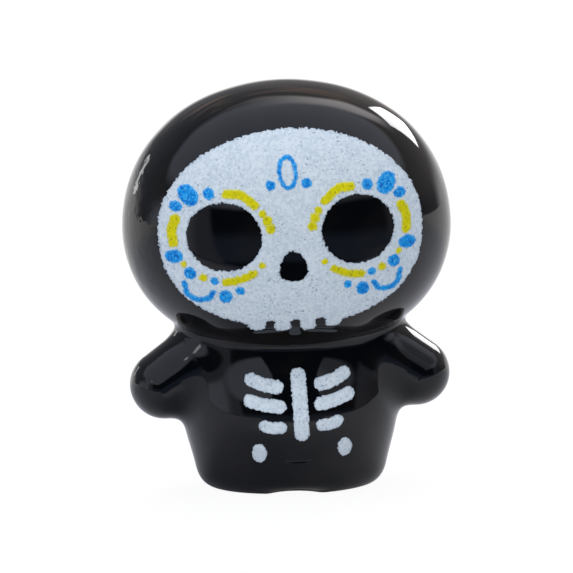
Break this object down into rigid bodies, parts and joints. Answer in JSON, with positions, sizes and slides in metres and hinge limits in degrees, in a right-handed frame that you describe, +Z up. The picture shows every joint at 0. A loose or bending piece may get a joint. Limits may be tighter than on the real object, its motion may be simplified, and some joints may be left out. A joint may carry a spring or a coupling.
{
  "type": "sugar skull figurine",
  "caption": "Small standing figure of glossy black stone with a big round head, stubby arms and a printed sugar-skull face and ribs, for display.",
  "frame": {"origin": "middle of the flat base, on the surface that the figure stands on", "axes": "+Z up, the face looks along -Y, the figure's left arm points along +X"},
  "size_m": [0.0224, 0.0193, 0.028],
  "materials": {
    "black_stone": "polished",
    "white_ink": "matte",
    "blue_ink": "matte",
    "yellow_ink": "matte"
  },
  "bodies": {
    "root": {"blue_dot_cheek_left": "blue_ink", "blue_dot_cheek_right": "blue_ink", "blue_dot_cheek_small_left": "blue_ink", "blue_dot_cheek_small_right": "blue_ink", "blue_dot_lower_outer_left": "blue_ink", "blue_dot_lower_outer_right": "blue_ink", "blue_dot_lower_small_left": "blue_ink", "blue_dot_lower_small_right": "blue_ink", "blue_dot_side_left": "blue_ink", "blue_dot_side_right": "blue_ink", "blue_dot_upper_inner_left": "blue_ink", "blue_dot_upper_inner_right": "blue_ink", "blue_dot_upper_large_left": "blue_ink", "blue_dot_upper_large_right": "blue_ink", "blue_dot_upper_outer_left": "blue_ink", "blue_dot_upper_outer_right": "blue_ink", "blue_scroll_left": "blue_ink", "blue_scroll_right": "blue_ink", "face_white": "white_ink", "figure": "black_stone", "forehead_dot_left": "blue_ink", "forehead_dot_right": "blue_ink", "forehead_loop": "blue_ink", "hip_left": "white_ink", "hip_right": "white_ink", "rib_1_left": "white_ink", "rib_1_right": "white_ink", "rib_2_left": "white_ink", "rib_2_right": "white_ink", "rib_3_left": "white_ink", "rib_3_right": "white_ink", "sternum": "white_ink", "yellow_brow_left": "yellow_ink", "yellow_brow_right": "yellow_ink", "yellow_dot_brow_1_left": "yellow_ink", "yellow_dot_brow_1_right": "yellow_ink", "yellow_dot_brow_2_left": "yellow_ink", "yellow_dot_brow_2_right": "yellow_ink", "yellow_dot_brow_3_left": "yellow_ink", "yellow_dot_brow_3_right": "yellow_ink", "yellow_dot_inner_left": "yellow_ink", "yellow_dot_inner_right": "yellow_ink", "yellow_dot_lower_left": "yellow_ink", "yellow_dot_lower_right": "yellow_ink", "yellow_dot_side_left": "yellow_ink", "yellow_dot_side_right": "yellow_ink", "yellow_outer_left": "yellow_ink", "yellow_outer_right": "yellow_ink", "yellow_under_left": "yellow_ink", "yellow_under_right": "yellow_ink"}
  },
  "joints": []
}
